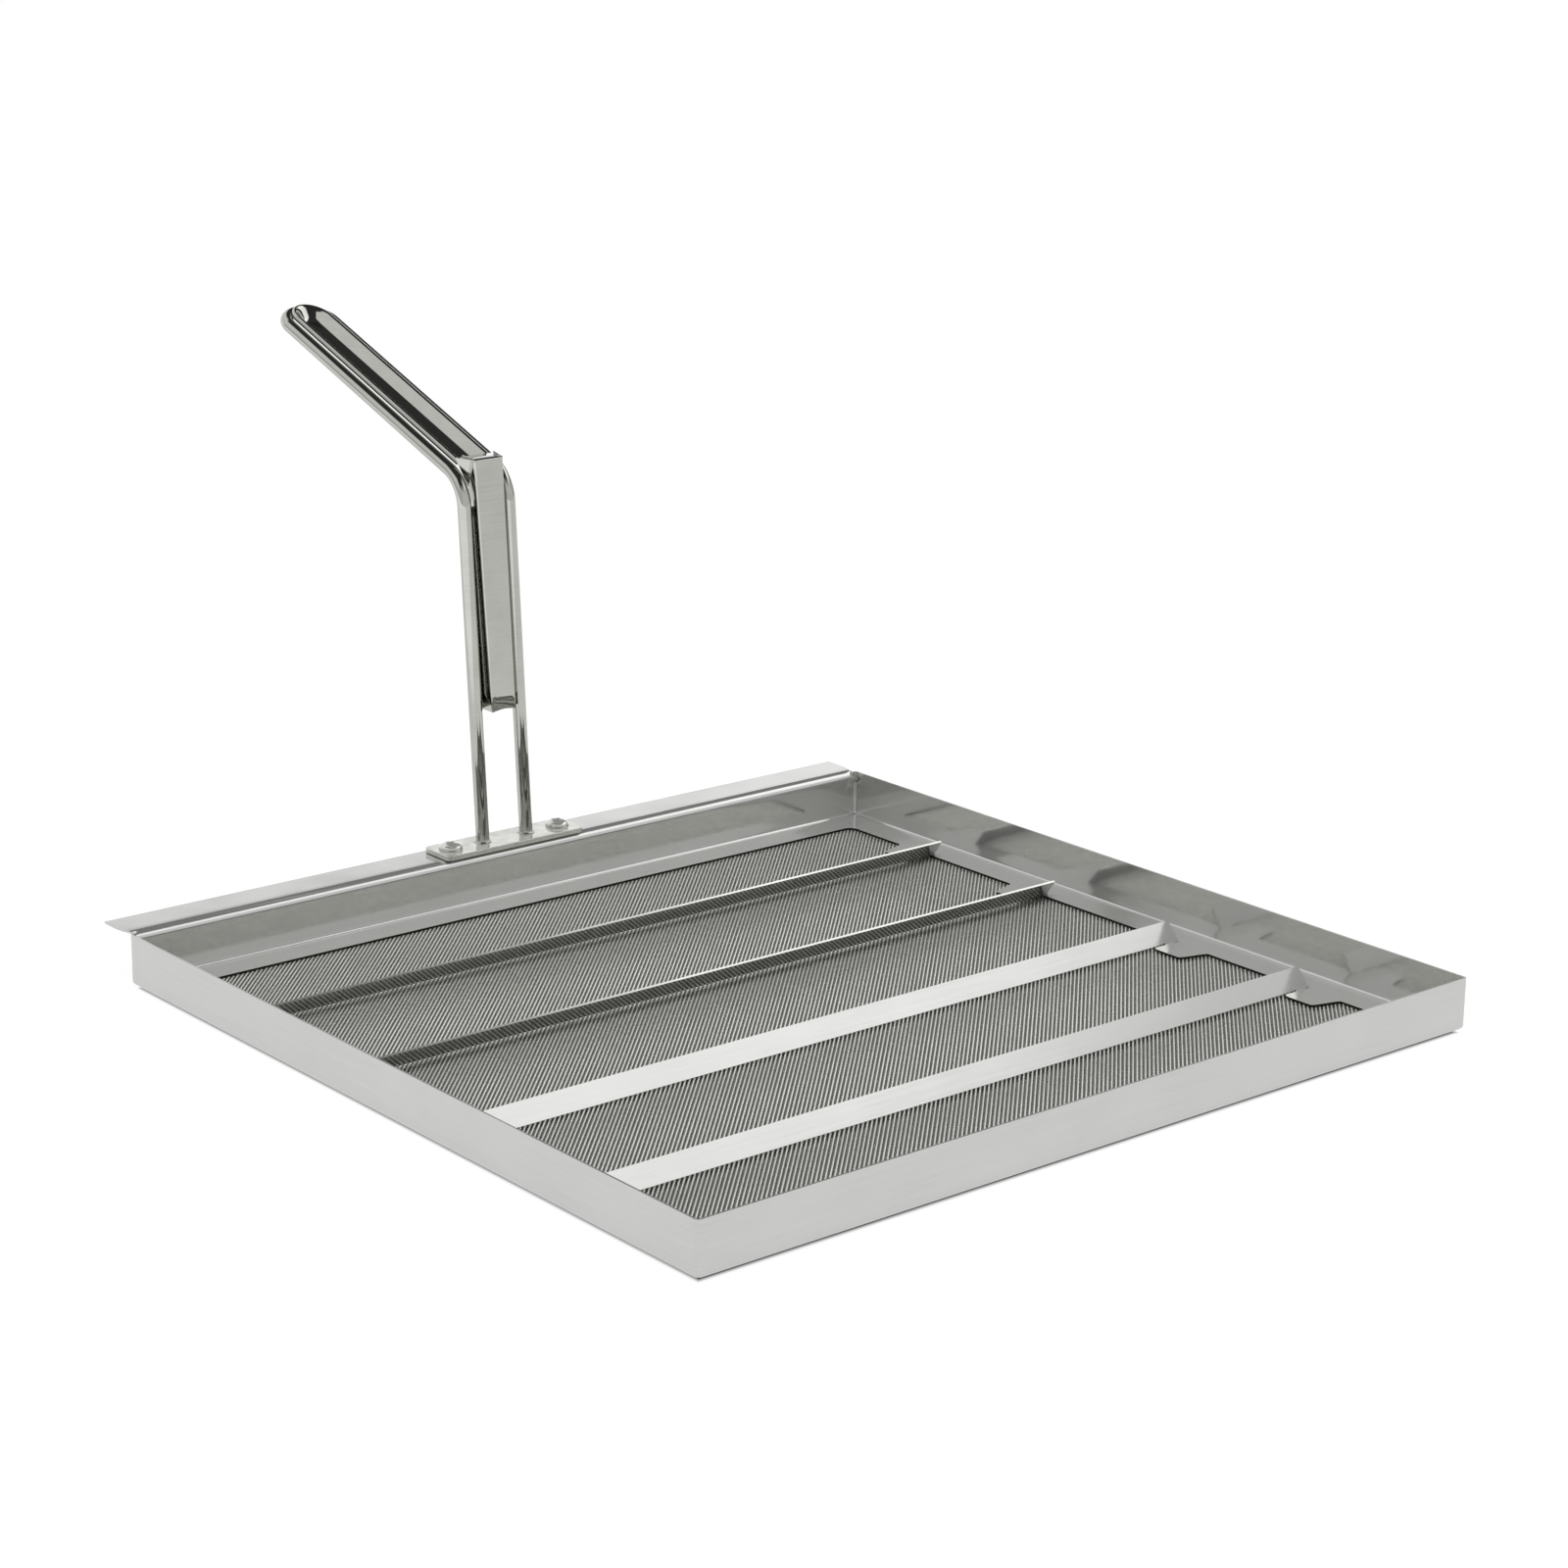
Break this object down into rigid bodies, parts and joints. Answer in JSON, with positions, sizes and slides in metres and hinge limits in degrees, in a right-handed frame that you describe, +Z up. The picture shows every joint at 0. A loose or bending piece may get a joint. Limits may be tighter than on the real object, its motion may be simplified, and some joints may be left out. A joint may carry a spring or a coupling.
{
  "type": "fryer crumb screen tray",
  "caption": "Shallow square stainless tray with a woven wire floor, upturned stiffening ribs, a rear hanger flange and a bolted upright lift-out handle.",
  "frame": {"origin": "bottom centre of the whole object's box, on the mid plane of the tray and handle", "axes": "+X along the rear wall, +Y from the tray's front towards the handle, +Z up"},
  "size_m": [0.45, 0.6247, 0.2798],
  "materials": {
    "satin_sheet": "satin cold-rolled stainless sheet",
    "wire_cloth": "woven stainless wire",
    "polished_handle": "polished stainless",
    "weld": "ground weld bead"
  },
  "bodies": {
    "root": {"front_wall": "satin_sheet", "rear_wall": "satin_sheet", "left_wall": "satin_sheet", "right_wall": "satin_sheet", "corner_weld_front_left": "weld", "corner_weld_front_right": "weld", "corner_weld_rear_right": "weld", "corner_weld_rear_left": "weld", "hanger_flange": "satin_sheet", "rear_lip": "satin_sheet", "front_lip": "satin_sheet", "right_lip": "satin_sheet", "left_lip": "satin_sheet", "rib_1": "satin_sheet", "rib_2": "satin_sheet", "rib_3": "satin_sheet", "rib_4": "satin_sheet", "mesh_screen": "wire_cloth", "clamp_strip_front": "satin_sheet", "clamp_strip_rear": "satin_sheet", "clamp_strip_left": "satin_sheet", "clamp_strip_right": "satin_sheet", "handle_plate": "polished_handle", "screw_left": "polished_handle", "screw_right": "polished_handle", "washer_left": "satin_sheet", "washer_right": "satin_sheet", "nut_left": "satin_sheet", "nut_right": "satin_sheet", "foot_weld_left": "weld", "foot_weld_right": "weld", "handle_rod": "polished_handle", "grip_channel": "polished_handle", "grip_trough": "polished_handle"}
  },
  "joints": []
}
